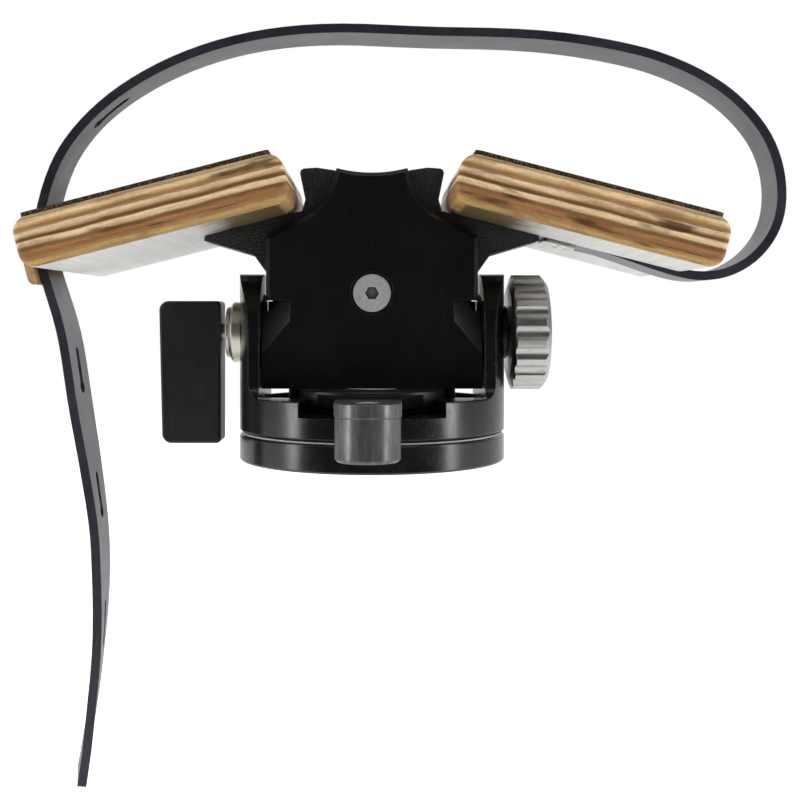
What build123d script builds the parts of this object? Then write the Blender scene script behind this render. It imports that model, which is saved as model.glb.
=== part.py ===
from build123d import *
import math
import os

os.makedirs("parts", exist_ok=True)

# ---------------------------------------------------------------- driving dimensions, mm
# Frame: origin on the underside of the base at the azimuth axis, +Z up, the tilt axis along X.
# The telescope looks along -Y when the cradle is level.

RUN_FIT = 0.05            # radial clearance of a turning fit

# turned base and fork, cut from the same bar
BAR_R = 45.0
BASE_T = 9.1
GLIDE_SINK = 0.6
GLIDE_TOP = 9.5
GLIDE_R_OUT = 44.1
GLIDE_R_IN = 31.0
FORK_BOTTOM = 9.9
FLOOR_Z = 21.8
EAR_TOP = 62.7
SLOT_HALF = 36.8
EAR_HALF_Y = 19.8
EAR_FOOT_R = 5.5
RELIEF_Z = 20.2
RELIEF_DEEP_Z = 17.4
RELIEF_LIP_R = 42.6
RIM_CHAMFER = 0.6
FINE_CHAMFER = 0.4
CUT = 1.0                 # how far a cutter reaches past the face it opens

# azimuth bearing
THREAD_D = 9.525          # 3/8-16 tripod thread, modelled at its major diameter
INSERT_D = 12.0
INSERT_TOP = 12.0
SPINDLE_FOOT_D = 20.0
FLANGE_D = 36.0
FLANGE_BOTTOM = 5.6
SPINDLE_D = 15.0
SPINDLE_TOP = 23.4
BUSH_WALL = 2.0
FLANGE_SCREW_PCR = 13.6
FLANGE_SCREW_D = 3.0
FLANGE_SCREW_HEAD_D = 5.6
FLANGE_SCREW_HEAD_T = 1.6
FLANGE_SCREW_L = 8.0
FLANGE_SCREW_HEX = 2.0
FLANGE_SCREW_HEX_T = 1.1
FLANGE_SCREW_ANGLES = (30, 150, 270)
THREAD_RUNOUT = 2.0
SPINDLE_CHAMFER = 0.8
WASHER_AIR = 0.3
WASHER_SIDE_AIR = 1.5
HEAD_SINK = 0.15          # how far a flush screw head sits under its face

# azimuth lock
POCKET_R = 29.0
POCKET_Z = 16.9
HUB_R = 28.5
HUB_BOTTOM = 17.2
HUB_TOP = 24.1
HUB_SINK_R = 13.0
HUB_SINK_Z = 19.6
NOTCH_HALF = 22.75
NOTCH_ROOT_Y = 15.0
ARM_HALF = 10.0
ARM_NECK_Y = -34.0
ARM_ROOT_Y = -23.0
ARM_ROOT_HALF = 17.0
ARM_INNER_Y = -10.0
WEB_OUT_Y = -44.5
WEB_IN_Y = -20.0
ARM_TOP = 23.0
POST_Y = -56.0
REST_SWING = -1.3
POST_R = 9.8
POST_BOTTOM = 5.8
POST_SEAM = 18.9
POST_SCREW_D = 4.0
POST_SCREW_HEAD_D = 7.5
POST_SCREW_HEAD_T = 2.3
POST_SCREW_L = 14.0
POST_SCREW_HEX = 2.5
POST_SCREW_HEX_T = 1.6
POST_SCREW_SINK = 0.2
POST_FOOT_CHAMFER = 0.8
NUT_AF = 19.0
NUT_Z = 20.3
NUT_T = 2.9

# tilt axis
AXIS_Z = 42.9
AXLE_D = 10.0
AXLE_END_D = 6.0
BUSH_D = 20.5
BUSH_OUT_X = 47.8
BUSH_NECK_D = 15.5
BUSH_CHAMFER = 0.7
SPOT_X = 44.0
SPOT_GAP = 0.2
COLLAR_R = 9.0
COLLAR_X = 46.0
DISC_R = 13.0
DISC_IN = 36.75
DISC_OUT = 38.8

# tilt block, a clevis that grips the bracket tongue
BLOCK_HALF_Y = 16.0
BLOCK_BOTTOM = 24.5
BLOCK_REAR_R = 18.2
BODY_HALF_X = 36.4
PLATE_HALF_X = 35.0
PLATE_STEP_Z = 53.6
SHOULDER_Z = 74.7
NECK = [(19.4, 82.7), (15.2, 86.8), (13.2, 91.6), (11.7, 97.3)]
CROWN_DIP = 95.8
SCOOP_START = (27.0, 46.9)  # X and Z of the two ends of the scoop's edge on the front face
SCOOP_END = (36.4, 35.6)
SCOOP_SLOPE = 0.83        # how fast the scoop deepens away from that edge
SCOOP_REACH = 16.0
TONGUE_HALF_Y = 9.6
TONGUE_BOTTOM = 50.2
TONGUE_HALF_X = 26.0
TONGUE_SLIP = 0.04
BLOCK_BEVEL = 1.3
GRUB_X = 20.0
GRUB_R = 2.5
GRUB_SINK = 0.8
GRUB_HEX = 2.5

# M6 countersunk clamp screw and its rear nut
CLAMP_Z = 56.0
CLAMP_D = 6.0
CLAMP_HEAD_D = 12.5
CLAMP_HEAD_T = 3.6
CLAMP_SINK_D = 14.2
CLAMP_SINK_T = 0.5
CLAMP_L = 30.0
CLAMP_HEX = 4.0
CLAMP_HEX_T = 3.2
CLAMP_NUT_AF = 10.0
CLAMP_NUT_T = 5.0

# saddle bracket outline (right half), from the crown between the lobes to the tongue
LOBE_CREST = [(8.5, 95.2), (12.5, 97.2), (18.5, 98.1), (24.4, 97.7)]
LOBE_CORNER_R = 1.6
LOBE_SIDE = [(22.3, 87.4), (23.4, 83.6)]
WING_TIP_X = 55.9
WING_TIP_DROP = 1.7
CROWN_MID_Z = 94.4
BRACKET_EDGE_R = 0.8
RIM_ABOVE_Z = 88.0           # the rounded rim is the part of the outline above this
WING_UNDER = [(39.5, 68.8), (35.7, 63.5), (27.0, 57.0)]

# planks, pads and their fixings
PLANK_TILT = 14.4
PLANK_ROOT_X = 24.25
PLANK_ROOT_Z = 83.45
PLANK_L = 85.0
PLANK_HALF_Y = 45.0
PLANK_T = 16.0
PLANK_END_R = 5.0
PLANK_EDGE_R = 2.0
PAD_T = 1.2
PAD_INSET = 3.3
PAD_SIDE_INSET = 1.2
PLANK_SCREW_U = (8.0, 20.0)
PLANK_SCREW_D = 5.0
PLANK_SCREW_HEX = 3.0
PLANK_SCREW_HEAD_D = 8.5
PLANK_SCREW_HEAD_T = 2.8
PLANK_SCREW_SEAT = 3.5
PLANK_SCREW_L = 13.0
PLANK_NUT_D = 8.0
PLANK_NUT_DEPTH = 11.0
PLANK_NUT_AIR = 0.3
PLANK_ACCESS_AIR = 0.25
PLANK_ACCESS_T = 30.0
PAD_CORNER_R = 2.0

# strap
STRAP_W = 18.6
STRAP_T = 3.0
STRAP_AIR = 0.12
GROOVE_SLIP = 0.2
GROOVE_START_U = 30.0
GROOVE_DEPTH = 3.3
ANCHOR_START_U = 31.0
ANCHOR_END_U = 50.0
ANCHOR_PLATE_T = 1.2
ANCHOR_U0 = 35.0
ANCHOR_U1 = 46.0
ANCHOR_SCREW_Y = 4.5
ANCHOR_SCREW_D = 3.0
ANCHOR_HEAD_D = 5.6
ANCHOR_HEAD_T = 1.0
ANCHOR_SCREW_L = 11.0
ANCHOR_HEX = 2.0
ANCHOR_HEX_T = 0.6
ANCHOR_CORNER_R = 2.0
ANCHOR_EDGE = 1.0
KEY_LEN = 16.0
KEY_NARROW = 3.0
KEY_WIDE = 4.6

# strap keeper on the outer end of the left plank
KEEPER_IN = 4.9
KEEPER_OUT = 7.7
KEEPER_HALF_Y = 13.4
KEEPER_TOP_V = 12.0
KEEPER_DROP = 2.2
KEEPER_SPACER_W = 3.8
KEEPER_SPACER_V = (5.2, 10.8)
KEEPER_SCREW_Y = 11.5
KEEPER_SCREW_D = 2.4
KEEPER_HEAD_D = 4.6
KEEPER_HEAD_T = 1.4
KEEPER_SCREW_L = 20.0
KEEPER_HEX = 2.0
KEEPER_HEX_T = 1.0
KEEPER_FOOT_R = 2.5

# lock lever and friction knob
LEVER_OUT_X = 71.9
LEVER_IN_X = 51.1
LEVER_TOP = 10.6
LEVER_BOTTOM = 37.4
LEVER_HALF_Y = 6.5
LEVER_OUTER_R = 3.2
LEVER_INNER_R = 1.4
LEVER_LEAN = 1.1
LEVER_EDGE = 0.6
LEVER_BORE_X = 68.0
WASHER_X = (48.1, 49.4)
WASHER_R = 8.6
WASHER_CHAMFER = 0.25
KNOB_R = 19.5
KNOB_IN_X = 46.4
KNOB_OUT_X = 59.0
KNOB_FLUTES = 18
KNOB_FLUTE_R = 2.9
KNOB_FLUTE_OUT = 1.7
KNOB_INNER_CONE = (1.2, 4.0)   # axial and radial size of the bevel on each rim
KNOB_OUTER_CONE = (1.8, 2.3)
KNOB_CAP_R = 4.0
KNOB_CAP_T = 1.6
CAP_AIR = 0.4
CAP_PROUD = 1.2


# ---------------------------------------------------------------- helpers
def save(shape, name):
    """Write one named piece."""
    export_step(shape, "parts/" + name + ".step")


def cyl_z(radius, z0, z1, x=0.0, y=0.0):
    """Upright cylinder between two heights."""
    return Pos(x, y, (z0 + z1) / 2) * Cylinder(radius, z1 - z0)


def cyl_x(radius, x0, x1, y=0.0, z=AXIS_Z):
    """Cylinder along X between two stations."""
    return Pos((x0 + x1) / 2, y, z) * Rot(0, 90, 0) * Cylinder(radius, abs(x1 - x0))


def cyl_y(radius, y0, y1, x=0.0, z=0.0):
    """Cylinder along Y between two stations."""
    return Pos(x, (y0 + y1) / 2, z) * Rot(90, 0, 0) * Cylinder(radius, abs(y1 - y0))


def block(x0, x1, y0, y1, z0, z1):
    """Box given by its faces."""
    centre = Pos((x0 + x1) / 2, (y0 + y1) / 2, (z0 + z1) / 2)
    return centre * Box(x1 - x0, y1 - y0, z1 - z0)


def front_profile(points, y0, y1):
    """Prism along Y of an outline given as X, Z pairs."""
    outline = Plane.XZ * make_face(Polyline(*points, close=True))
    return Pos(0, y1, 0) * extrude(outline, amount=y1 - y0)


def mirrored(points):
    """Close a right half outline with its mirror image."""
    return points + [(-x, z) for x, z in reversed(points)]


def flip(shape):
    """Mirror a piece from the right side to the left side."""
    return mirror(shape, about=Plane.YZ)


def hex_prism(across_flats, depth):
    """Hexagonal prism on the XY plane, growing along +Z."""
    return extrude(RegularPolygon(across_flats / math.sqrt(3), 6), amount=depth)


def countersunk_hole(shank_d, head_d, head_t, length):
    """Space a countersunk screw fills, head top at Z 0 and shank along -Z."""
    cone = Pos(0, 0, -head_t / 2) * Cone(shank_d / 2, head_d / 2, head_t)
    return cone + cyl_z(shank_d / 2, -length, -head_t)


def countersunk(shank_d, head_d, head_t, length, drive, drive_t):
    """Countersunk screw with a hexagon socket, placed like its hole."""
    socket = Pos(0, 0, -drive_t) * hex_prism(drive, drive_t + 1)
    return countersunk_hole(shank_d, head_d, head_t, length) - socket


def cap_screw(shank_d, head_d, head_t, length, drive):
    """Socket head screw, head seat at Z 0, head above it and shank below."""
    head = chamfer(cyl_z(head_d / 2, 0, head_t).edges().sort_by(Axis.Z)[-1], 0.3)
    screw = head + cyl_z(shank_d / 2, -length, 0)
    return screw - Pos(0, 0, head_t * 0.45) * hex_prism(drive, head_t)


def polar(radius, angle):
    """Point on a circle about the azimuth axis."""
    return radius * math.cos(math.radians(angle)), radius * math.sin(math.radians(angle))


# ---------------------------------------------------------------- base
def build_base():
    plate = cyl_z(BAR_R, 0, BASE_T)
    plate = chamfer(plate.edges().group_by(Axis.Z)[0], RIM_CHAMFER)
    plate = chamfer(plate.edges().group_by(Axis.Z)[-1], RIM_CHAMFER)
    glide_seat = cyl_z(GLIDE_R_OUT, BASE_T - GLIDE_SINK, BASE_T)
    glide_seat -= cyl_z(GLIDE_R_IN, BASE_T - GLIDE_SINK, BASE_T)
    plate -= glide_seat
    plate -= cyl_z(SPINDLE_FOOT_D / 2, 0, BASE_T)
    plate -= cyl_z(FLANGE_D / 2, FLANGE_BOTTOM, BASE_T)
    screws = []
    holes = []
    size = (FLANGE_SCREW_D, FLANGE_SCREW_HEAD_D, FLANGE_SCREW_HEAD_T, FLANGE_SCREW_L)
    for angle in FLANGE_SCREW_ANGLES:
        x, y = polar(FLANGE_SCREW_PCR, angle)
        seat = Pos(x, y, HEAD_SINK) * Rot(180, 0, 0)
        screws.append(seat * countersunk(*size, FLANGE_SCREW_HEX, FLANGE_SCREW_HEX_T))
        holes.append(seat * countersunk_hole(*size))
        holes.append(cyl_z(FLANGE_SCREW_HEAD_D / 2, 0, HEAD_SINK, x, y))
    for hole in holes:
        plate -= hole
    save(plate, "base_plate")

    glide = cyl_z(GLIDE_R_OUT, BASE_T - GLIDE_SINK, GLIDE_TOP)
    glide -= cyl_z(GLIDE_R_IN, BASE_T - GLIDE_SINK, GLIDE_TOP)
    save(glide, "glide_ring")

    spindle = cyl_z(SPINDLE_FOOT_D / 2, 0, FLANGE_BOTTOM)
    spindle += cyl_z(FLANGE_D / 2, FLANGE_BOTTOM, BASE_T)
    spindle += cyl_z(SPINDLE_D / 2, BASE_T, SPINDLE_TOP)
    spindle = chamfer(spindle.edges().group_by(Axis.Z)[-1], SPINDLE_CHAMFER)
    spindle -= cyl_z(INSERT_D / 2, 0, INSERT_TOP)
    spindle -= cyl_z(THREAD_D / 2, INSERT_TOP, INSERT_TOP + THREAD_RUNOUT)
    for hole in holes:
        spindle -= hole
    save(spindle, "azimuth_spindle")
    save(Compound(children=screws), "flange_screw")

    insert = cyl_z(INSERT_D / 2, 0, INSERT_TOP) - cyl_z(THREAD_D / 2, 0, INSERT_TOP)
    save(insert, "tripod_insert")

    washer = cyl_z(HUB_SINK_R - WASHER_SIDE_AIR, HUB_SINK_Z + WASHER_AIR, NUT_Z)
    washer -= cyl_z(SPINDLE_D / 2, HUB_SINK_Z + WASHER_AIR, NUT_Z)
    save(washer, "spindle_washer")
    nut = Pos(0, 0, NUT_Z) * hex_prism(NUT_AF, NUT_T)
    nut -= cyl_z(SPINDLE_D / 2, NUT_Z, NUT_Z + NUT_T)
    save(nut, "spindle_nut")


# ---------------------------------------------------------------- fork
def ear_blank():
    """One ear: a lug of the bar, rounded about the tilt axis, with a flared foot."""
    x0 = SLOT_HALF
    x1 = BAR_R + CUT
    lug = block(x0, x1, -EAR_HALF_Y, EAR_HALF_Y, RELIEF_Z, AXIS_Z) + cyl_x(EAR_HALF_Y, x0, x1)
    foot_y = EAR_HALF_Y + EAR_FOOT_R
    foot_z = FLOOR_Z + EAR_FOOT_R
    foot = block(x0, x1, -foot_y, foot_y, RELIEF_Z, foot_z)
    for y in (-foot_y, foot_y):
        foot -= cyl_x(EAR_FOOT_R, x0 - CUT, x1 + CUT, y, foot_z)
    return (lug + foot) & cyl_z(BAR_R, RELIEF_Z, EAR_TOP)


def build_fork():
    body = cyl_z(BAR_R, FORK_BOTTOM, FLOOR_Z)
    body = chamfer(body.edges().group_by(Axis.Z)[0], RIM_CHAMFER)
    body = chamfer(body.edges().group_by(Axis.Z)[-1], FINE_CHAMFER)
    # the floor between the ears is relieved, with a low lip at its rear edge
    relief = block(-SLOT_HALF, SLOT_HALF, -EAR_HALF_Y, BAR_R + CUT, RELIEF_DEEP_Z, FLOOR_Z + CUT)
    body -= relief & cyl_z(RELIEF_LIP_R, RELIEF_DEEP_Z, FLOOR_Z + CUT)
    body -= block(-SLOT_HALF, SLOT_HALF, -EAR_HALF_Y, BAR_R + CUT, RELIEF_Z, FLOOR_Z + CUT)
    ear = ear_blank()
    body += ear
    body += flip(ear)
    body -= cyl_z(POCKET_R, POCKET_Z, EAR_TOP)
    body -= block(-NOTCH_HALF, NOTCH_HALF, -BAR_R - CUT, -NOTCH_ROOT_Y, POCKET_Z, EAR_TOP)
    bush_r = SPINDLE_D / 2 + RUN_FIT + BUSH_WALL
    body -= cyl_z(bush_r, FORK_BOTTOM, POCKET_Z)
    # each ear has a pocket inside for the friction disc and a flat outside for the flange
    bore = cyl_x(BUSH_NECK_D / 2, -BAR_R - CUT, BAR_R + CUT)
    bore += cyl_x(DISC_R, -DISC_OUT, DISC_OUT)
    bore += cyl_x(BUSH_D / 2 + SPOT_GAP, -BAR_R - CUT, -SPOT_X)
    bore += cyl_x(COLLAR_R + SPOT_GAP, SPOT_X, BAR_R + CUT)
    body -= bore
    save(body, "fork")

    bush = cyl_z(bush_r, FORK_BOTTOM, POCKET_Z)
    bush -= cyl_z(SPINDLE_D / 2 + RUN_FIT, FORK_BOTTOM, POCKET_Z)
    save(bush, "azimuth_bush")

    axle_hole = AXLE_D / 2 + RUN_FIT
    left = cyl_x(BUSH_D / 2, -BUSH_OUT_X, -SPOT_X)
    left = chamfer(left.edges().sort_by(Axis.X)[0], BUSH_CHAMFER)
    left += cyl_x(BUSH_NECK_D / 2, -SPOT_X, -DISC_OUT)
    left -= cyl_x(axle_hole, -BUSH_OUT_X - CUT, -DISC_OUT + CUT)
    save(left, "tilt_bush_left")

    right = cyl_x(COLLAR_R, SPOT_X, COLLAR_X)
    right = chamfer(right.edges().sort_by(Axis.X)[-1], FINE_CHAMFER)
    right += cyl_x(BUSH_NECK_D / 2, DISC_OUT, SPOT_X)
    right -= cyl_x(axle_hole, DISC_OUT - CUT, COLLAR_X + CUT)
    save(right, "tilt_bush_right")

    disc = cyl_x(DISC_R, DISC_IN, DISC_OUT) - cyl_x(axle_hole, DISC_IN - CUT, DISC_OUT + CUT)
    save(disc, "friction_disc_right")
    save(flip(disc), "friction_disc_left")


# ---------------------------------------------------------------- azimuth lock
def build_pan_lock():
    hub = cyl_z(HUB_R, HUB_BOTTOM, HUB_TOP)
    hub = chamfer(hub.edges().group_by(Axis.Z)[-1], FINE_CHAMFER)
    # the arm flares out of the hub and leaves through the notch in the fork
    outline = [(ARM_HALF, POST_Y), (ARM_HALF, ARM_NECK_Y), (ARM_ROOT_HALF, ARM_ROOT_Y),
               (ARM_ROOT_HALF, ARM_INNER_Y)]
    arm = make_face(Polyline(*mirrored(outline), close=True))
    arm = Pos(0, 0, POST_SEAM) * extrude(arm, amount=ARM_TOP - POST_SEAM)
    arm += cyl_z(POST_R, POST_SEAM, ARM_TOP, 0, POST_Y)
    web = block(-ARM_HALF, ARM_HALF, WEB_OUT_Y, WEB_IN_Y, HUB_BOTTOM, POST_SEAM)
    hub += arm + web
    hub -= cyl_z(SPINDLE_D / 2 + RUN_FIT, HUB_BOTTOM, HUB_TOP)
    hub -= cyl_z(HUB_SINK_R, HUB_SINK_Z, HUB_TOP)
    size = (POST_SCREW_D, POST_SCREW_HEAD_D, POST_SCREW_HEAD_T, POST_SCREW_L)
    seat = Pos(0, POST_Y, ARM_TOP - POST_SCREW_SINK)
    screw = seat * countersunk(*size, POST_SCREW_HEX, POST_SCREW_HEX_T)
    hub -= seat * countersunk_hole(*size)
    hub -= cyl_z(POST_SCREW_HEAD_D / 2, ARM_TOP - POST_SCREW_SINK, ARM_TOP, 0, POST_Y)
    save(Rot(0, 0, REST_SWING) * hub, "pan_lock_arm")

    post = cyl_z(POST_R, POST_BOTTOM, POST_SEAM, 0, POST_Y)
    post = chamfer(post.edges().group_by(Axis.Z)[0], POST_FOOT_CHAMFER)
    post -= seat * countersunk_hole(*size)
    save(Rot(0, 0, REST_SWING) * post, "pan_lock_post")
    save(Rot(0, 0, REST_SWING) * screw, "pan_lock_screw")


# ---------------------------------------------------------------- tilt block
def scoop_blank():
    """Slanted relief of a front corner beside the tilt axis, deepest under the upper plate."""
    across = Vector(SCOOP_START[1] - SCOOP_END[1], 0, SCOOP_END[0] - SCOOP_START[0]).normalized()
    origin = (SCOOP_START[0], -BLOCK_HALF_Y, SCOOP_START[1])
    plane = Plane(origin=origin, x_dir=across, z_dir=across.cross(Vector(0, 1, 0)))
    outline = [(0.0, 0.0), (SCOOP_REACH, SCOOP_SLOPE * SCOOP_REACH), (SCOOP_REACH, -CUT), (0.0, -CUT)]
    wedge = extrude(plane * make_face(Polyline(*outline, close=True)), amount=SCOOP_REACH, both=True)
    return wedge & block(SCOOP_START[0], BODY_HALF_X + CUT, -BLOCK_HALF_Y - CUT, 0, 0, PLATE_STEP_Z)


def build_block():
    half = [(0.0, BLOCK_BOTTOM), (BODY_HALF_X, BLOCK_BOTTOM), (BODY_HALF_X, PLATE_STEP_Z),
            (PLATE_HALF_X, PLATE_STEP_Z), (PLATE_HALF_X, SHOULDER_Z)] + NECK
    body = front_profile(mirrored(half[1:]), -BLOCK_HALF_Y, BLOCK_HALF_Y)
    # hollow crown between the two tips
    sag = NECK[-1][1] - CROWN_DIP
    crown_r = (NECK[-1][0] ** 2 + sag ** 2) / (2 * sag)
    body -= cyl_y(crown_r, -BLOCK_HALF_Y - 1, BLOCK_HALF_Y + 1, 0, CROWN_DIP + crown_r)
    front_edges = body.faces().sort_by(Axis.Y)[0].edges()
    upper = [e for e in front_edges if e.center().Z > PLATE_STEP_Z + 1]
    body = chamfer(upper, BLOCK_BEVEL)
    # the lower rear swings down past the azimuth lock, so it is turned about the tilt axis
    rear = block(-BODY_HALF_X, BODY_HALF_X, 0, BLOCK_HALF_Y + 1, 0, AXIS_Z)
    rear -= cyl_x(BLOCK_REAR_R, -BODY_HALF_X - 1, BODY_HALF_X + 1)
    body -= rear
    scoop = scoop_blank()
    body -= scoop
    body -= flip(scoop)
    # clevis slot for the bracket tongue, open upward
    body -= block(-BODY_HALF_X - 1, BODY_HALF_X + 1, -TONGUE_HALF_Y - TONGUE_SLIP,
                  TONGUE_HALF_Y + TONGUE_SLIP, TONGUE_BOTTOM - TONGUE_SLIP, 2 * SHOULDER_Z)
    body -= cyl_x(AXLE_D / 2, -BODY_HALF_X - 1, BODY_HALF_X + 1)
    # clamp screw hole, countersink and rear nut pocket
    body -= cyl_y(CLAMP_D / 2, -BLOCK_HALF_Y, BLOCK_HALF_Y, 0, CLAMP_Z)
    body -= cyl_y(CLAMP_SINK_D / 2, -BLOCK_HALF_Y, -BLOCK_HALF_Y + CLAMP_SINK_T, 0, CLAMP_Z)
    seat_y = -BLOCK_HALF_Y + CLAMP_SINK_T
    cone = Rot(90, 0, 0) * Cone(CLAMP_D / 2, CLAMP_HEAD_D / 2, CLAMP_HEAD_T)
    body -= Pos(0, seat_y + CLAMP_HEAD_T / 2, CLAMP_Z) * cone
    nut_at = Pos(0, BLOCK_HALF_Y, CLAMP_Z) * Rot(90, 0, 0)
    body -= nut_at * hex_prism(CLAMP_NUT_AF, CLAMP_NUT_T)
    # grub screws that lock the axle in the block
    grubs = []
    grub_z = BLOCK_BOTTOM + GRUB_SINK
    for x in (-GRUB_X, GRUB_X):
        grub = cyl_z(GRUB_R, grub_z, AXIS_Z - AXLE_D / 2, x, 0)
        body -= cyl_z(GRUB_R, 0, AXIS_Z, x, 0)
        grub -= Pos(x, 0, grub_z) * hex_prism(GRUB_HEX, GRUB_HEX)
        grubs.append(grub)
    save(body, "tilt_block")
    save(Compound(children=grubs), "axle_grub_screw")

    screw = countersunk(CLAMP_D, CLAMP_HEAD_D, CLAMP_HEAD_T, CLAMP_L, CLAMP_HEX, CLAMP_HEX_T)
    save(Pos(0, seat_y, CLAMP_Z) * Rot(90, 0, 0) * screw, "clamp_screw")
    nut = hex_prism(CLAMP_NUT_AF, CLAMP_NUT_T) - cyl_z(CLAMP_D / 2, 0, CLAMP_NUT_T)
    save(nut_at * nut, "clamp_nut")

    axle = cyl_x(AXLE_D / 2, -WASHER_X[0], COLLAR_X)
    axle += cyl_x(AXLE_END_D / 2, CUT - LEVER_BORE_X, KNOB_OUT_X - KNOB_CAP_T - CAP_AIR)
    save(axle, "tilt_axle")


# ---------------------------------------------------------------- cradle
def plank_frame():
    """Location of the right plank: local X outward, local Z away from its underside."""
    return Pos(PLANK_ROOT_X, 0, PLANK_ROOT_Z) * Rot(0, PLANK_TILT, 0)


def underside_z(x):
    """Height of the plank underside at a station along X."""
    return PLANK_ROOT_Z - (abs(x) - PLANK_ROOT_X) * math.tan(math.radians(PLANK_TILT))


def build_bracket():
    tip_z = underside_z(WING_TIP_X)
    half = [(0.0, CROWN_MID_Z)] + LOBE_CREST + LOBE_SIDE
    half += [(PLANK_ROOT_X, underside_z(PLANK_ROOT_X)), (WING_TIP_X, tip_z)]
    half += [(WING_TIP_X + 0.3, tip_z - WING_TIP_DROP)] + WING_UNDER
    half += [(TONGUE_HALF_X, TONGUE_BOTTOM)]
    body = front_profile(mirrored(half[1:]), -TONGUE_HALF_Y, TONGUE_HALF_Y)
    crest_x, crest_z = LOBE_CREST[-1]
    corners = [e for e in body.edges().filter_by(Axis.Y)
               if abs(abs(e.center().X) - crest_x) < 0.1 and abs(e.center().Z - crest_z) < 0.1]
    body = fillet(corners, LOBE_CORNER_R)
    for end in (body.faces().sort_by(Axis.Y)[0], body.faces().sort_by(Axis.Y)[-1]):
        body = fillet([e for e in end.edges() if e.center().Z > RIM_ABOVE_Z], BRACKET_EDGE_R)
    body -= cyl_y(CLAMP_D / 2, -TONGUE_HALF_Y, TONGUE_HALF_Y, 0, CLAMP_Z)
    screws = []
    nuts = []
    for side in (1, -1):
        for u in PLANK_SCREW_U:
            # the head sits in a pocket under the wing, the shank enters the plank
            screw = cap_screw(PLANK_SCREW_D, PLANK_SCREW_HEAD_D, PLANK_SCREW_HEAD_T,
                              PLANK_SCREW_L, PLANK_SCREW_HEX)
            seat = -PLANK_SCREW_SEAT
            placed = plank_frame() * Pos(u, 0, seat) * Rot(180, 0, 0) * screw
            access = cyl_z(PLANK_SCREW_HEAD_D / 2 + PLANK_ACCESS_AIR, -PLANK_ACCESS_T, seat, u, 0)
            access = plank_frame() * access
            hole = plank_frame() * cyl_z(PLANK_SCREW_D / 2, seat - CUT, CUT, u, 0)
            nut = cyl_z(PLANK_NUT_D / 2, PLANK_NUT_AIR, PLANK_NUT_DEPTH, u, 0)
            nut -= cyl_z(PLANK_SCREW_D / 2, 0, PLANK_NUT_DEPTH, u, 0)
            nut = plank_frame() * nut
            if side < 0:
                placed, access, hole, nut = [flip(s) for s in (placed, access, hole, nut)]
            body -= access
            body -= hole
            screws.append(placed)
            nuts.append(nut)
    save(body, "saddle_bracket")
    save(Compound(children=screws), "plank_screw")
    save(Compound(children=nuts), "plank_insert")


def plank_blank():
    plank = block(0, PLANK_L, -PLANK_HALF_Y, PLANK_HALF_Y, 0, PLANK_T)
    plank = fillet(plank.edges().filter_by(Axis.Y), PLANK_END_R)
    outline = plank.faces().sort_by(Axis.Y)[0].edges() + plank.faces().sort_by(Axis.Y)[-1].edges()
    plank = fillet(outline, PLANK_EDGE_R)
    for u in PLANK_SCREW_U:
        plank -= cyl_z(PLANK_NUT_D / 2, 0, PLANK_NUT_DEPTH, u, 0)
    return plank


def pad_blank():
    y_half = PLANK_HALF_Y - PAD_SIDE_INSET
    pad = block(PAD_INSET, PLANK_L - PAD_INSET, -y_half, y_half, PLANK_T, PLANK_T + PAD_T)
    return fillet(pad.edges().filter_by(Axis.Z), PAD_CORNER_R)


def anchor_pieces():
    """Strap anchor: a thin plate and two screws clamp the strap end in the groove."""
    half_w = STRAP_W / 2 - ANCHOR_EDGE
    high = GROOVE_SLIP - STRAP_AIR
    low = high - ANCHOR_PLATE_T
    plate = block(ANCHOR_U0, ANCHOR_U1, -half_w, half_w, low, high)
    plate = fillet(plate.edges().filter_by(Axis.Z), ANCHOR_CORNER_R)
    screws = []
    holes = []
    size = (ANCHOR_SCREW_D, ANCHOR_HEAD_D, ANCHOR_HEAD_T, ANCHOR_SCREW_L)
    for y in (-ANCHOR_SCREW_Y, ANCHOR_SCREW_Y):
        seat = Pos((ANCHOR_U0 + ANCHOR_U1) / 2, y, low) * Rot(180, 0, 0)
        screws.append(seat * countersunk(*size, ANCHOR_HEX, ANCHOR_HEX_T))
        holes.append(seat * countersunk_hole(*size))
    for hole in holes:
        plate -= hole
    return plate, screws, holes


def build_planks():
    groove_half = STRAP_W / 2 + GROOVE_SLIP
    groove = block(GROOVE_START_U, PLANK_L + CUT, -groove_half, groove_half, -CUT, GROOVE_DEPTH)
    plate, anchor_screws, anchor_holes = anchor_pieces()
    right = plank_blank() - groove
    for hole in anchor_holes:
        right -= hole
    save(plank_frame() * right, "plank_right")
    save(plank_frame() * plate, "strap_anchor_plate")
    save(Compound(children=[plank_frame() * s for s in anchor_screws]), "strap_anchor_screw")

    left = plank_blank()
    keeper = keeper_blank()
    screws = []
    size = (KEEPER_SCREW_D, KEEPER_HEAD_D, KEEPER_HEAD_T, KEEPER_SCREW_L)
    for y in (-KEEPER_SCREW_Y, KEEPER_SCREW_Y):
        # head on the outer face of the keeper, shank along the plank
        seat = Pos(PLANK_L + KEEPER_OUT, y, PLANK_T / 2) * Rot(0, 90, 0)
        screws.append(seat * countersunk(*size, KEEPER_HEX, KEEPER_HEX_T))
        keeper -= seat * countersunk_hole(*size)
        left -= seat * countersunk_hole(*size)
    save(flip(plank_frame() * left), "plank_left")
    save(flip(plank_frame() * keeper), "strap_keeper")
    save(Compound(children=[flip(plank_frame() * s) for s in screws]), "keeper_screw")

    pad = plank_frame() * pad_blank()
    save(pad, "grip_pad_right")
    save(flip(pad), "grip_pad_left")


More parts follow.
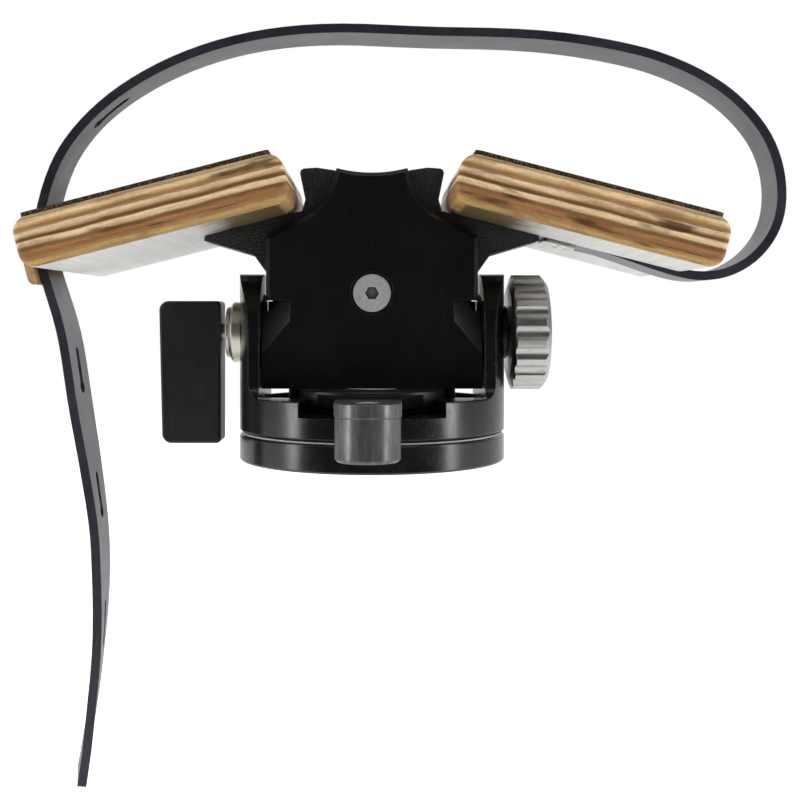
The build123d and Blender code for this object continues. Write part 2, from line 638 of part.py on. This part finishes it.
def keeper_blank():
    """Small plywood bridge over the strap, stood off the plank end by two spacers."""
    keeper = block(PLANK_L + KEEPER_IN, PLANK_L + KEEPER_OUT, -KEEPER_HALF_Y, KEEPER_HALF_Y,
                   -KEEPER_DROP, KEEPER_TOP_V)
    low = keeper.edges().filter_by(Axis.Y).group_by(Axis.Z)[0].sort_by(Axis.X)[-1]
    keeper = fillet(low, KEEPER_FOOT_R)
    for side in (-1, 1):
        y0, y1 = sorted((side * KEEPER_HALF_Y, side * (KEEPER_HALF_Y - KEEPER_SPACER_W)))
        keeper += block(PLANK_L, PLANK_L + KEEPER_IN + CUT, y0, y1, *KEEPER_SPACER_V)
    return keeper


# ---------------------------------------------------------------- strap
# Rest shape of the strap centre line, X and Z in mm, from the groove round to the free tip.
STRAP_LOOP = [
    (96.4, 64.9), (109.8, 61.95), (119.2, 63.2), (131.4, 71.5), (137.0, 82.4),
    (137.5, 94.6), (134.2, 106.4), (127.0, 116.8), (117.4, 125.2), (105.9, 131.6),
    (94.1, 136.05), (82.8, 138.8), (63.5, 141.9), (41.35, 143.4), (17.5, 143.9),
    (-7.8, 144.9), (-32.9, 143.5), (-53.9, 138.9), (-77.4, 128.7), (-89.0, 120.8),
    (-99.1, 110.8), (-106.0, 99.9), (-109.6, 89.5), (-111.9, 76.0), (-110.6, 65.5),
    (-107.6, 55.5), (-104.05, 43.5), (-101.65, 30.1), (-99.65, 16.7), (-97.35, 3.3),
    (-95.3, -10.0), (-93.6, -23.3), (-92.9, -36.7), (-92.9, -50.1), (-93.6, -63.6),
    (-94.9, -77.0), (-96.6, -90.5), (-98.6, -103.9), (-99.5, -109.3)]
# Twist of the strap about its centre line, degrees, at fractions of the length.
STRAP_TWIST = [(0.0, 0.0), (0.1, 0.0), (0.2, -4.0), (0.42, 6.0), (0.6, 3.5), (0.67, 0.0),
               (0.78, -2.0), (0.87, 3.0), (0.94, 9.0), (1.0, 14.0)]
STRAP_STATIONS = 64
# Height of each keyhole along the hanging tail, then the one on the left of the loop.
TAIL_KEYHOLES = [30.3, -13.2, -56.4]
ARC_KEYHOLE = (-90.5, 119.6)


def strap_path():
    start = plank_frame() * Pos(ANCHOR_START_U, 0, GROOVE_SLIP + STRAP_T / 2)
    end = plank_frame() * Pos(ANCHOR_END_U, 0, GROOVE_SLIP + STRAP_T / 2)
    mid = plank_frame() * Pos((ANCHOR_START_U + ANCHOR_END_U) / 2, 0, GROOVE_SLIP + STRAP_T / 2)
    points = [(p.position.X, 0, p.position.Z) for p in (start, mid, end)]
    points += [(x, 0, z) for x, z in STRAP_LOOP]
    return Spline(*points)


def twist_at(t):
    for (t0, a0), (t1, a1) in zip(STRAP_TWIST, STRAP_TWIST[1:]):
        if t <= t1:
            f = (t - t0) / (t1 - t0)
            f = f * f * (3 - 2 * f)
            return a0 + (a1 - a0) * f
    return STRAP_TWIST[-1][1]


def keyhole(path, t):
    """Cutter for one keyhole, long along the strap, wide end toward the free tip."""
    at = path.position_at(t)
    along = path.tangent_at(t)
    plane = Plane(origin=at, x_dir=along, z_dir=along.cross(Vector(0, 1, 0)))
    narrow = Pos(-KEY_LEN / 2 + KEY_NARROW / 2, 0) * Circle(KEY_NARROW / 2)
    wide = Pos(KEY_LEN / 2 - KEY_WIDE / 2, 0) * Circle(KEY_WIDE / 2)
    bar = Rectangle(KEY_LEN - KEY_NARROW, KEY_NARROW)
    return extrude(plane * (bar + narrow + wide), amount=STRAP_T * 2, both=True)


def nearest_t(path, x, z, lo, hi):
    best = min(range(401), key=lambda i: abs_dist(path, lo + (hi - lo) * i / 400, x, z))
    return lo + (hi - lo) * best / 400


def abs_dist(path, t, x, z):
    p = path.position_at(t)
    return (p.X - x) ** 2 + (p.Z - z) ** 2


def build_strap():
    path = strap_path()
    sections = []
    for i in range(STRAP_STATIONS + 1):
        t = i / STRAP_STATIONS
        at = path.position_at(t)
        along = path.tangent_at(t)
        plane = Plane(origin=at, x_dir=Vector(0, 1, 0), z_dir=along)
        plane = plane.rotated((0, 0, twist_at(t)))
        sections.append(plane * Rectangle(STRAP_W, STRAP_T))
    strap = loft(sections)
    for z in TAIL_KEYHOLES:
        strap -= keyhole(path, nearest_t(path, -98.0, z, 0.7, 1.0))
    strap -= keyhole(path, nearest_t(path, ARC_KEYHOLE[0], ARC_KEYHOLE[1], 0.5, 0.68))
    plate, screws, holes = anchor_pieces()
    for hole in holes:
        strap -= plank_frame() * hole
    save(strap, "strap")


# ---------------------------------------------------------------- lever and knob
def build_lever():
    grip = [(-LEVER_OUT_X, AXIS_Z + LEVER_TOP), (-LEVER_IN_X, AXIS_Z + LEVER_TOP),
            (-LEVER_IN_X, AXIS_Z - LEVER_BOTTOM),
            (-LEVER_OUT_X + LEVER_LEAN, AXIS_Z - LEVER_BOTTOM)]
    lever = front_profile(grip, -LEVER_HALF_Y, LEVER_HALF_Y)
    corners = lever.edges().filter_by(Axis.Y)
    lever = fillet(corners.sort_by(Axis.X)[:2], LEVER_OUTER_R)
    inner = lever.edges().filter_by(Axis.Y).sort_by(Axis.X)[-2:]
    lever = fillet(inner, LEVER_INNER_R)
    for end in (0, -1):
        lever = chamfer(lever.faces().sort_by(Axis.Y)[end].edges(), LEVER_EDGE)
    lever -= cyl_x(AXLE_END_D / 2 + RUN_FIT, -LEVER_BORE_X, -LEVER_IN_X + 1)
    save(lever, "lock_lever")

    washer = cyl_x(WASHER_R, -WASHER_X[1], -WASHER_X[0])
    washer = chamfer(washer.edges().filter_by(GeomType.CIRCLE), WASHER_CHAMFER)
    washer -= cyl_x(AXLE_END_D / 2 + RUN_FIT, -WASHER_X[1] - 1, -WASHER_X[0] + 1)
    save(washer, "lever_washer")

    knob = cyl_x(KNOB_R, KNOB_IN_X, KNOB_OUT_X)
    rims = knob.edges().filter_by(GeomType.CIRCLE).sort_by(Axis.X)
    knob = chamfer(rims[0], *KNOB_INNER_CONE, reference=knob.faces().filter_by(GeomType.CYLINDER)[0])
    rims = knob.edges().filter_by(GeomType.CIRCLE).sort_by(Axis.X)
    knob = chamfer(rims[-1], *KNOB_OUTER_CONE, reference=knob.faces().filter_by(GeomType.CYLINDER)[0])
    for i in range(KNOB_FLUTES):
        angle = math.radians(360 / KNOB_FLUTES * i)
        y = (KNOB_R + KNOB_FLUTE_OUT) * math.cos(angle)
        z = AXIS_Z + (KNOB_R + KNOB_FLUTE_OUT) * math.sin(angle)
        knob -= cyl_x(KNOB_FLUTE_R, KNOB_IN_X - 1, KNOB_OUT_X + 1, y, z)
    seat = KNOB_OUT_X - KNOB_CAP_T
    knob -= cyl_x(AXLE_END_D / 2 + RUN_FIT, KNOB_IN_X - CUT, seat + CUT)
    knob -= cyl_x(KNOB_CAP_R, seat, KNOB_OUT_X + 1)
    save(knob, "friction_knob")
    cap = cyl_x(KNOB_CAP_R, seat, KNOB_OUT_X + CAP_PROUD)
    cap = chamfer(cap.edges().sort_by(Axis.X)[-1], FINE_CHAMFER)
    save(cap, "knob_cap")


build_base()
build_fork()
build_pan_lock()
build_block()
build_bracket()
build_planks()
build_strap()
build_lever()
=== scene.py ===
import math

import bpy
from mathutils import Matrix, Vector

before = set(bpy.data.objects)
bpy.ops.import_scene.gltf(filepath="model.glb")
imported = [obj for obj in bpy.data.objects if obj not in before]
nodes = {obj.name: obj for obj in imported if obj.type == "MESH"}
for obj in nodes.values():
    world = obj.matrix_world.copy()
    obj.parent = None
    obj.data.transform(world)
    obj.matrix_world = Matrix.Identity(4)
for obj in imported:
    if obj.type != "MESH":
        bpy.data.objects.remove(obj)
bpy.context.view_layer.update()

MM = 0.001
PLANK_TILT = math.radians(14.4)
PLANK_ROOT = (24.25 * MM, 0.0, 83.45 * MM)
PLANK_T = 16.0 * MM


# ---------------------------------------------------------------- node helpers
class Graph:
    """A small wrapper that builds one node material."""

    def __init__(self, name):
        self.mat = bpy.data.materials.new(name)
        self.mat.use_nodes = True
        self.tree = self.mat.node_tree
        self.tree.nodes.clear()
        self.out = self.add("ShaderNodeOutputMaterial")
        self.shader = self.add("ShaderNodeBsdfPrincipled")
        self.link(self.shader.outputs["BSDF"], self.out.inputs["Surface"])
        own = self.add("ShaderNodeTexCoord")
        self.coord = own.outputs["Object"]
        self.facing = own.outputs["Normal"]  # the part's own normal, so it turns with the part

    def add(self, kind, **props):
        node = self.tree.nodes.new(kind)
        for key, value in props.items():
            setattr(node, key, value)
        return node

    def link(self, a, b):
        self.tree.links.new(a, b)

    def put(self, socket, value):
        if isinstance(value, bpy.types.NodeSocket):
            self.link(value, socket)
        else:
            socket.default_value = value

    def set(self, **values):
        names = {"color": "Base Color", "rough": "Roughness", "metal": "Metallic",
                 "normal": "Normal", "spec": "Specular IOR Level"}
        for key, value in values.items():
            self.put(self.shader.inputs[names[key]], value)
        return self.mat

    def scaled(self, sx, sy, sz, vector=None):
        node = self.add("ShaderNodeMapping")
        self.link(vector or self.coord, node.inputs["Vector"])
        node.inputs["Scale"].default_value = (sx, sy, sz)
        return node.outputs["Vector"]

    def noise(self, scale, detail=3.0, rough=0.5, vector=None, distortion=0.0):
        node = self.add("ShaderNodeTexNoise")
        self.link(vector or self.coord, node.inputs["Vector"])
        node.inputs["Scale"].default_value = scale
        node.inputs["Detail"].default_value = detail
        node.inputs["Roughness"].default_value = rough
        node.inputs["Distortion"].default_value = distortion
        return node.outputs["Fac"]

    def cells(self, scale):
        node = self.add("ShaderNodeTexVoronoi")
        self.link(self.coord, node.inputs["Vector"])
        node.inputs["Scale"].default_value = scale
        return node.outputs["Distance"]

    def math(self, op, a, b=0.0, clamp=False):
        node = self.add("ShaderNodeMath", operation=op, use_clamp=clamp)
        self.put(node.inputs[0], a)
        self.put(node.inputs[1], b)
        return node.outputs[0]

    def fit(self, value, lo, hi, out_lo=0.0, out_hi=1.0):
        node = self.add("ShaderNodeMapRange")
        self.link(value, node.inputs["Value"])
        for key, number in (("From Min", lo), ("From Max", hi), ("To Min", out_lo), ("To Max", out_hi)):
            node.inputs[key].default_value = number
        return node.outputs["Result"]

    def blend(self, fac, a, b, mode="MIX"):
        node = self.add("ShaderNodeMix", data_type="RGBA", blend_type=mode)
        self.put(node.inputs["Factor"], fac)
        for socket, value in ((node.inputs[6], a), (node.inputs[7], b)):
            self.put(socket, value if isinstance(value, bpy.types.NodeSocket) else (*value, 1.0))
        return node.outputs[2]

    def ramp(self, value, stops):
        """Colour ramp from (position, colour) pairs."""
        node = self.add("ShaderNodeValToRGB")
        self.link(value, node.inputs["Fac"])
        elements = node.color_ramp.elements
        while len(elements) < len(stops):
            elements.new(0.5)
        for element, (position, color) in zip(elements, stops):
            element.position = position
            element.color = (*color, 1.0)
        return node.outputs["Color"]

    def bump(self, height, distance, strength=1.0, normal=None):
        node = self.add("ShaderNodeBump")
        node.inputs["Distance"].default_value = distance
        node.inputs["Strength"].default_value = strength
        self.link(height, node.inputs["Height"])
        if normal:
            self.link(normal, node.inputs["Normal"])
        return node.outputs["Normal"]

    def edge(self, radius, lo=0.02, hi=0.25):
        """Mask of the sharp edges, from how far a rounded normal leans off the true one."""
        bevel = self.add("ShaderNodeBevel", samples=6)
        bevel.inputs["Radius"].default_value = radius
        true = self.add("ShaderNodeNewGeometry").outputs["Normal"]
        dot = self.add("ShaderNodeVectorMath", operation="DOT_PRODUCT")
        self.link(bevel.outputs["Normal"], dot.inputs[0])
        self.link(true, dot.inputs[1])
        lean = self.math("SUBTRACT", 1.0, dot.outputs["Value"])
        return self.fit(lean, lo, hi), bevel.outputs["Normal"]

    def recess_shade(self, distance):
        """Painted shade mask from ambient occlusion: zero in narrow recesses, one on open faces."""
        node = self.add("ShaderNodeAmbientOcclusion", samples=8, only_local=True)
        node.inputs["Distance"].default_value = distance
        return self.fit(node.outputs["AO"], 0.25, 0.85)

    def axes(self, vector=None):
        node = self.add("ShaderNodeSeparateXYZ")
        self.link(vector or self.coord, node.inputs["Vector"])
        return node.outputs


# ---------------------------------------------------------------- materials
def black_metal(name, base, rough, grain, grain_depth, edge_r, edge_bright, spec=0.3,
                paint_pocket_light=False):
    """Satin black finish with machining lines, faint handling marks and rubbed edges; optionally a painted
    highlight on the slanted pocket.
    """
    g = Graph(name)
    lines = g.noise(1.0, 2.0, 0.6, g.scaled(*grain))
    cloud = g.noise(45.0, 4.0, 0.6)
    marks = g.noise(1.0, 3.0, 0.65, g.scaled(900.0, 260.0, 500.0))
    edge, rounded = g.edge(edge_r)
    worn = g.math("MULTIPLY", edge, g.fit(g.noise(420.0, 4.0, 0.7), 0.42, 0.68), clamp=True)
    tone = g.blend(g.fit(cloud, 0.3, 0.7), base, tuple(c * 1.7 for c in base))
    tone = g.blend(g.fit(lines, 0.5, 0.7, 0.0, 0.8), tone, tuple(c * 3.2 for c in base))
    if paint_pocket_light:
        # the slanted relief beside the tilt axis faces up and out; it is painted a lighter grey there, a
        # painted highlight where it would catch the light
        normal = g.axes(g.facing)
        lit_slant = g.math("MULTIPLY", g.math("ABSOLUTE", normal[0]), g.math("ABSOLUTE", normal[1]))
        low = g.fit(g.axes()[2], 53.0 * MM, 53.5 * MM, 1.0, 0.0)
        lit_slant = g.math("MULTIPLY", g.fit(lit_slant, 0.2, 0.3), low, clamp=True)
        tone = g.blend(lit_slant, tone, (0.085, 0.088, 0.088))
    tone = g.blend(g.math("MULTIPLY", worn, edge_bright), tone, (0.34, 0.34, 0.33))
    roughness = g.math("ADD", g.fit(cloud, 0.3, 0.7, rough - 0.04, rough + 0.06),
                       g.fit(marks, 0.45, 0.8, 0.0, 0.1))
    height = g.math("ADD", lines, g.math("MULTIPLY", marks, 0.6))
    return g.set(color=tone, rough=roughness, spec=spec,
                 normal=g.bump(height, grain_depth, 0.5, rounded))


def cast_black(name):
    """Powder coated casting: a fine pebbled skin."""
    g = Graph(name)
    pebble = g.cells(1500.0)
    fine = g.noise(2600.0, 2.0, 0.5)
    cloud = g.noise(60.0, 3.0, 0.6)
    tone = g.blend(g.fit(cloud, 0.3, 0.7), (0.014, 0.014, 0.013), (0.024, 0.024, 0.022))
    # painted shade: the hollows between the pebbles, the low points of the bump, are painted darker
    tone = g.blend(g.fit(pebble, 0.05, 0.5), tone, (0.007, 0.007, 0.007))
    height = g.math("ADD", g.math("MULTIPLY", pebble, -1.0), g.math("MULTIPLY", fine, 0.35))
    rounded = g.edge(0.7 * MM)[1]
    return g.set(color=tone, rough=g.fit(cloud, 0.3, 0.7, 0.36, 0.46), spec=0.5,
                 normal=g.bump(height, 0.32 * MM, 0.8, rounded))


def steel(name, base, rough, grain, depth=0.02 * MM, edge_r=0.25 * MM, dirt=0.35, metal=1.0):
    """Machined bright metal with tool lines, a little grime and painted shade in its recesses."""
    g = Graph(name)
    lines = g.noise(1.0, 2.0, 0.6, g.scaled(*grain))
    cloud = g.noise(140.0, 4.0, 0.65)
    grime = g.fit(g.noise(420.0, 4.0, 0.7), 0.52, 0.8)
    tone = g.blend(g.fit(lines, 0.3, 0.7), tuple(c * 0.82 for c in base), base)
    tone = g.blend(g.math("MULTIPLY", grime, dirt), tone, (0.16, 0.15, 0.14))
    # painted shade: recesses are darkened to near black
    tone = g.blend(g.recess_shade(2.5 * MM), (0.03, 0.03, 0.03), tone)
    rounded = g.edge(edge_r)[1]
    roughness = g.math("ADD", g.fit(cloud, 0.3, 0.7, rough - 0.05, rough + 0.07),
                       g.math("MULTIPLY", grime, 0.15))
    return g.set(color=tone, metal=metal, rough=roughness, normal=g.bump(lines, depth, 0.6, rounded))


def worn_steel(name):
    """Dark blued steel, rubbed bright along its rim, with faint streaks down its side."""
    g = Graph(name)
    streak = g.noise(1.0, 4.0, 0.7, g.scaled(500.0, 500.0, 50.0))
    blotch = g.noise(260.0, 5.0, 0.7)
    edge, rounded = g.edge(0.7 * MM, 0.02, 0.25)
    rub = g.math("MULTIPLY", edge, g.fit(blotch, 0.42, 0.62), clamp=True)
    # only the end that hangs clear of the fork is worn; the hub stays black
    front = g.fit(g.axes()[1], -43.0 * MM, -47.0 * MM)
    tone = g.blend(g.fit(streak, 0.35, 0.7), (0.085, 0.085, 0.086), (0.19, 0.186, 0.178))
    tone = g.blend(g.math("MULTIPLY", rub, 0.7), tone, (0.30, 0.29, 0.28))
    tone = g.blend(front, (0.005, 0.005, 0.0055), tone)
    roughness = g.fit(blotch, 0.3, 0.7, 0.30, 0.42)
    return g.set(color=tone, metal=g.math("MULTIPLY", front, 0.6), rough=roughness, spec=0.35,
                 normal=g.bump(g.math("ADD", streak, blotch), 0.03 * MM, 0.5, rounded))


# Ply stack from the underside up: share of the thickness and the colour of each ply.
PLY_STACK = [
    (0.00, (0.27, 0.17, 0.070)), (0.09, (0.38, 0.25, 0.095)), (0.15, (0.28, 0.145, 0.060)),
    (0.24, (0.25, 0.115, 0.045)), (0.29, (0.30, 0.150, 0.060)), (0.36, (0.15, 0.070, 0.030)),
    (0.39, (0.21, 0.110, 0.050)), (0.42, (0.56, 0.410, 0.210)), (0.50, (0.64, 0.490, 0.310)),
    (0.525, (0.13, 0.060, 0.024)), (0.57, (0.14, 0.062, 0.020)), (0.60, (0.38, 0.240, 0.110)),
    (0.64, (0.58, 0.430, 0.250)), (0.69, (0.61, 0.450, 0.290)), (0.715, (0.30, 0.170, 0.080)),
    (0.77, (0.26, 0.140, 0.055)), (0.80, (0.42, 0.260, 0.110)), (0.85, (0.62, 0.440, 0.230)),
    (0.90, (0.60, 0.430, 0.260)), (0.93, (0.34, 0.220, 0.120)), (1.00, (0.46, 0.340, 0.210))]


def plywood(name, side):
    """Varnished plywood in the plank's own axes: across the plies, along the face grain."""
    g = Graph(name)
    place = g.add("ShaderNodeMapping", vector_type="TEXTURE")
    g.link(g.coord, place.inputs["Vector"])
    place.inputs["Location"].default_value = (side * PLANK_ROOT[0], 0.0, PLANK_ROOT[2])
    place.inputs["Rotation"].default_value = (0.0, side * PLANK_TILT, 0.0)
    local = place.outputs["Vector"]
    axes = g.axes(local)
    # the glue lines wander a little and the plies differ in thickness
    sway = g.noise(1.0, 3.0, 0.6, g.scaled(24.0, 24.0, 120.0, local))
    level = g.math("ADD", axes[2], g.fit(sway, 0.3, 0.7, -0.4 * MM, 0.4 * MM))
    stack = g.ramp(g.math("DIVIDE", level, PLANK_T), PLY_STACK)
    pores = g.noise(1.0, 4.0, 0.75, g.scaled(900.0, 700.0, 1600.0, local))
    streaks = g.noise(1.0, 5.0, 0.7, g.scaled(60.0, 900.0, 1100.0, local))
    patch = g.noise(1.0, 4.0, 0.65, g.scaled(55.0, 60.0, 230.0, local))
    knot = g.noise(1.0, 3.0, 0.6, g.scaled(26.0, 30.0, 150.0, local))
    shade = g.math("MULTIPLY", g.fit(streaks, 0.3, 0.7, 0.95, 1.75), g.fit(pores, 0.3, 0.7, 0.95, 1.25))
    gray = g.add("ShaderNodeCombineXYZ")
    for socket in gray.inputs:
        g.link(shade, socket)
    tone = g.blend(1.0, stack, gray.outputs["Vector"], "MULTIPLY")
    tone = g.blend(g.fit(patch, 0.50, 0.70, 0.0, 0.6), tone, (0.24, 0.120, 0.045))
    tone = g.blend(g.fit(knot, 0.60, 0.68, 0.0, 0.85), tone, (0.070, 0.033, 0.013))
    cracks = g.noise(1.0, 3.0, 0.7, g.scaled(45.0, 500.0, 800.0, local))
    tone = g.blend(g.fit(cracks, 0.62, 0.70, 0.0, 0.75), tone, (0.085, 0.040, 0.016))
    # the underside shows one pale veneer, with a painted shadow in dark brown towards the bracket, where
    # the bracket wing blocks the light
    face = g.fit(g.math("ABSOLUTE", g.axes(g.facing)[2]), 0.90, 0.96)
    rings = g.noise(1.0, 4.0, 0.65, g.scaled(420.0, 16.0, 30.0, local), 1.2)
    veneer_and_shadow = g.blend(g.fit(rings, 0.32, 0.7), (0.60, 0.585, 0.56), (0.76, 0.75, 0.73))
    shadow_reach = g.math("ADD", g.math("MULTIPLY", axes[0], float(side)), g.fit(patch, 0.3, 0.7, -4 * MM, 4 * MM))
    veneer_and_shadow = g.blend(g.fit(shadow_reach, 22.0 * MM, 32.0 * MM), (0.13, 0.095, 0.045), veneer_and_shadow)
    tone = g.blend(face, tone, veneer_and_shadow)
    height = g.math("ADD", g.math("MULTIPLY", streaks, 0.4), g.math("MULTIPLY", pores, 0.5))
    return g.set(color=tone, rough=g.fit(pores, 0.3, 0.7, 0.40, 0.56), spec=0.22,
                 normal=g.bump(height, 0.14 * MM, 0.8))


def plain_wood(name, base):
    """Small offcut of tan wood."""
    g = Graph(name)
    grain = g.noise(1.0, 5.0, 0.7, g.scaled(500.0, 60.0, 500.0))
    tone = g.blend(g.fit(grain, 0.3, 0.7), tuple(c * 0.6 for c in base), base)
    return g.set(color=tone, rough=0.5, spec=0.4, normal=g.bump(grain, 0.1 * MM, 0.6))


def grip(name):
    """Speckled high-grip sheet: fine dark grains with a few tan ones."""
    g = Graph(name)
    grains = g.cells(1500.0)
    clump = g.noise(900.0, 4.0, 0.75)
    big = g.noise(110.0, 3.0, 0.6)
    tone = g.blend(g.fit(clump, 0.40, 0.62), (0.010, 0.008, 0.006), (0.060, 0.036, 0.018))
    speck = g.fit(g.math("ADD", grains, g.math("MULTIPLY", big, 0.35)), 0.62, 0.85)
    tone = g.blend(g.math("MULTIPLY", speck, 0.6), tone, (0.20, 0.125, 0.065))
    height = g.math("ADD", g.math("MULTIPLY", grains, -1.0), clump)
    return g.set(color=tone, rough=0.85, spec=0.2, normal=g.bump(height, 0.4 * MM, 0.9))


def rubber(name):
    """Matt black strap rubber with a faint bloom and fine moulding grain."""
    g = Graph(name)
    fine = g.noise(1500.0, 3.0, 0.6)
    bloom = g.noise(70.0, 4.0, 0.65)
    tone = g.blend(g.fit(bloom, 0.3, 0.75), (0.016, 0.018, 0.025), (0.036, 0.040, 0.052))
    rounded = g.edge(0.5 * MM)[1]
    # the cut edges of the strap, which face along Y, are duller than its moulded faces
    side = g.fit(g.math("ABSOLUTE", g.axes(g.facing)[1]), 0.7, 0.95)
    shine = g.fit(side, 0.0, 1.0, 0.8, 0.3)
    return g.set(color=tone, rough=g.fit(bloom, 0.3, 0.7, 0.34, 0.44), spec=shine,
                 normal=g.bump(fine, 0.05 * MM, 0.5, rounded))


def pale_plastic(name, base, rough):
    g = Graph(name)
    cloud = g.noise(160.0, 4.0, 0.6)
    tone = g.blend(g.fit(cloud, 0.3, 0.7), tuple(c * 0.85 for c in base), base)
    return g.set(color=tone, rough=rough, normal=g.bump(cloud, 0.04 * MM, 0.5))


mats = {
    "turned": black_metal("black_turned", (0.0032, 0.0036, 0.0039), 0.19,
                          (120.0, 120.0, 9000.0), 0.012 * MM, 0.35 * MM, 0.35, 0.5),
    "milled": black_metal("black_milled", (0.0025, 0.0025, 0.0027), 0.42,
                          (1400.0, 1400.0, 300.0), 0.010 * MM, 0.35 * MM, 0.3, 0.25, True),
    "brushed": black_metal("black_brushed", (0.0068, 0.0078, 0.0080), 0.42,
                           (5200.0, 5200.0, 110.0), 0.05 * MM, 0.5 * MM, 0.3, 0.35),
    "cast": cast_black("black_cast"),
    "stainless": steel("stainless", (0.55, 0.54, 0.525), 0.36, (260.0, 4200.0, 4200.0)),
    "nickel": steel("nickel", (0.66, 0.63, 0.53), 0.36, (5200.0, 300.0, 300.0)),
    "screw": steel("screw_steel", (0.80, 0.795, 0.78), 0.34, (900.0, 900.0, 900.0), metal=0.35),
    "bronze": steel("bronze", (0.55, 0.38, 0.2), 0.35, (500.0, 500.0, 3000.0)),
    "worn": worn_steel("worn_steel"),
    "ply_left": plywood("plywood_left", -1),
    "ply_right": plywood("plywood_right", 1),
    "offcut": plain_wood("plywood_offcut", (0.56, 0.37, 0.18)),
    "grip": grip("grip_sheet"),
    "rubber": rubber("strap_rubber"),
    "glide": pale_plastic("glide", (0.62, 0.62, 0.60), 0.45),
    "lining": pale_plastic("lining", (0.05, 0.05, 0.052), 0.6),
}

USES = {
    "turned": ["base_plate", "fork"],
    "milled": ["tilt_block", "knob_cap"],
    "brushed": ["lock_lever", "tilt_bush_right"],
    "cast": ["saddle_bracket"],
    "stainless": ["friction_knob", "azimuth_spindle", "tilt_axle", "spindle_nut", "spindle_washer",
                  "tripod_insert", "strap_anchor_plate", "lever_washer"],
    "nickel": ["tilt_bush_left"],
    "screw": ["flange_screw", "clamp_screw", "clamp_nut", "axle_grub_screw", "plank_screw",
              "plank_insert", "strap_anchor_screw", "keeper_screw", "pan_lock_screw"],
    "bronze": ["azimuth_bush"],
    "worn": ["pan_lock_arm", "pan_lock_post"],
    "ply_left": ["plank_left"],
    "ply_right": ["plank_right"],
    "offcut": ["strap_keeper"],
    "grip": ["grip_pad_left", "grip_pad_right"],
    "rubber": ["strap"],
    "glide": ["glide_ring"],
    "lining": ["friction_disc_left", "friction_disc_right"],
}
for key, names in USES.items():
    for name in names:
        obj = nodes[name]
        obj.data.materials.clear()
        obj.data.materials.append(mats[key])


# ---------------------------------------------------------------- stage, light, camera
FLOOR_Z = -0.150
FLOOR_SIZE = (8.0, 4.5)
FLOOR_CENTRE_Y = 1.75
FLOOR_GLOW = 0.6          # what the floor gives off towards the mount; the lens sees it at 1.0
PALE = (0.92, 0.92, 0.92)
SIDE_BOX_ANGLE = 69.0
SIDE_BOX_DISTANCE = 1.3
SIDE_BOX_HEIGHT = 0.25
SIDE_BOX_SIZE = (0.22, 1.2)


def stage_plane(name, size, location, color, glow):
    bpy.ops.mesh.primitive_plane_add(size=1.0, location=location)
    plane = bpy.context.object
    plane.name = name
    plane.scale = (size[0], size[1], 1.0)
    g = Graph(name + "_paint")
    g.set(color=(*color, 1.0), rough=0.9, spec=0.1)
    g.shader.inputs["Emission Color"].default_value = (*color, 1.0)
    seen = g.add("ShaderNodeLightPath").outputs["Is Camera Ray"]
    g.link(g.fit(seen, 0.0, 1.0, glow, 1.0), g.shader.inputs["Emission Strength"])
    plane.data.materials.append(g.mat)
    return plane


stage_plane("floor", FLOOR_SIZE, (0.0, FLOOR_CENTRE_Y, FLOOR_Z), PALE, FLOOR_GLOW)


def softbox(name, location, target, size, power):
    data = bpy.data.lights.new(name, "AREA")
    data.shape = "RECTANGLE"
    data.size, data.size_y = size
    data.energy = power
    light = bpy.data.objects.new(name, data)
    light.location = location
    light.rotation_euler = (Vector(target) - Vector(location)).to_track_quat("-Z", "Y").to_euler()
    bpy.context.scene.collection.objects.link(light)
    return light


def around(angle, distance, height):
    """A point round the object: 0 is the camera's side, positive to its right."""
    a = math.radians(angle)
    return (distance * math.sin(a), -distance * math.cos(a), height)


AIM = (0.0, 0.0, 0.05)
for name, angle, power in (("left_box", -SIDE_BOX_ANGLE, 10.0), ("right_box", SIDE_BOX_ANGLE, 10.5)):
    softbox(name, around(angle, SIDE_BOX_DISTANCE, SIDE_BOX_HEIGHT), AIM, SIDE_BOX_SIZE, power)
softbox("top_box", (0.0, -0.35, 1.5), AIM, (1.4, 1.0), 9.0)
softbox("back_box", (0.0, 1.6, 0.6), AIM, (2.4, 1.4), 5.0)

world = bpy.data.worlds.new("studio")
bpy.context.scene.world = world
world.use_nodes = True
wt = world.node_tree
wt.nodes.clear()
# the studio is white behind and dim behind the camera; the lens itself sees plain white
toward = wt.nodes.new("ShaderNodeTexCoord").outputs["Generated"]
split = wt.nodes.new("ShaderNodeSeparateXYZ")
wt.links.new(toward, split.inputs["Vector"])
depth = wt.nodes.new("ShaderNodeMapRange")
depth.interpolation_type = "SMOOTHSTEP"
wt.links.new(split.outputs["Y"], depth.inputs["Value"])
for key, number in (("From Min", 0.25), ("From Max", 0.95), ("To Min", 0.03), ("To Max", 0.65)):
    depth.inputs[key].default_value = number
seen = wt.nodes.new("ShaderNodeLightPath").outputs["Is Camera Ray"]
level = wt.nodes.new("ShaderNodeMix")
wt.links.new(seen, level.inputs["Factor"])
wt.links.new(depth.outputs["Result"], level.inputs[2])
level.inputs[3].default_value = 1.0
sky = wt.nodes.new("ShaderNodeBackground")
wt.links.new(level.outputs[0], sky.inputs["Strength"])
wt.links.new(sky.outputs["Background"], wt.nodes.new("ShaderNodeOutputWorld").inputs["Surface"])
sky.inputs["Color"].default_value = (1.0, 1.0, 1.0, 1.0)

camera_data = bpy.data.cameras.new("camera")
camera_data.sensor_width = 36.0
camera_data.lens = 51.3
camera_data.shift_x = 0.035
camera_data.shift_y = -0.106
camera_data.clip_start = 0.01
camera = bpy.data.objects.new("camera", camera_data)
camera.location = (0.0, -0.391, 0.0487)
camera.rotation_euler = (math.radians(90.0), 0.0, 0.0)
bpy.context.scene.collection.objects.link(camera)
bpy.context.scene.camera = camera
bpy.context.scene.view_settings.view_transform = "Standard"
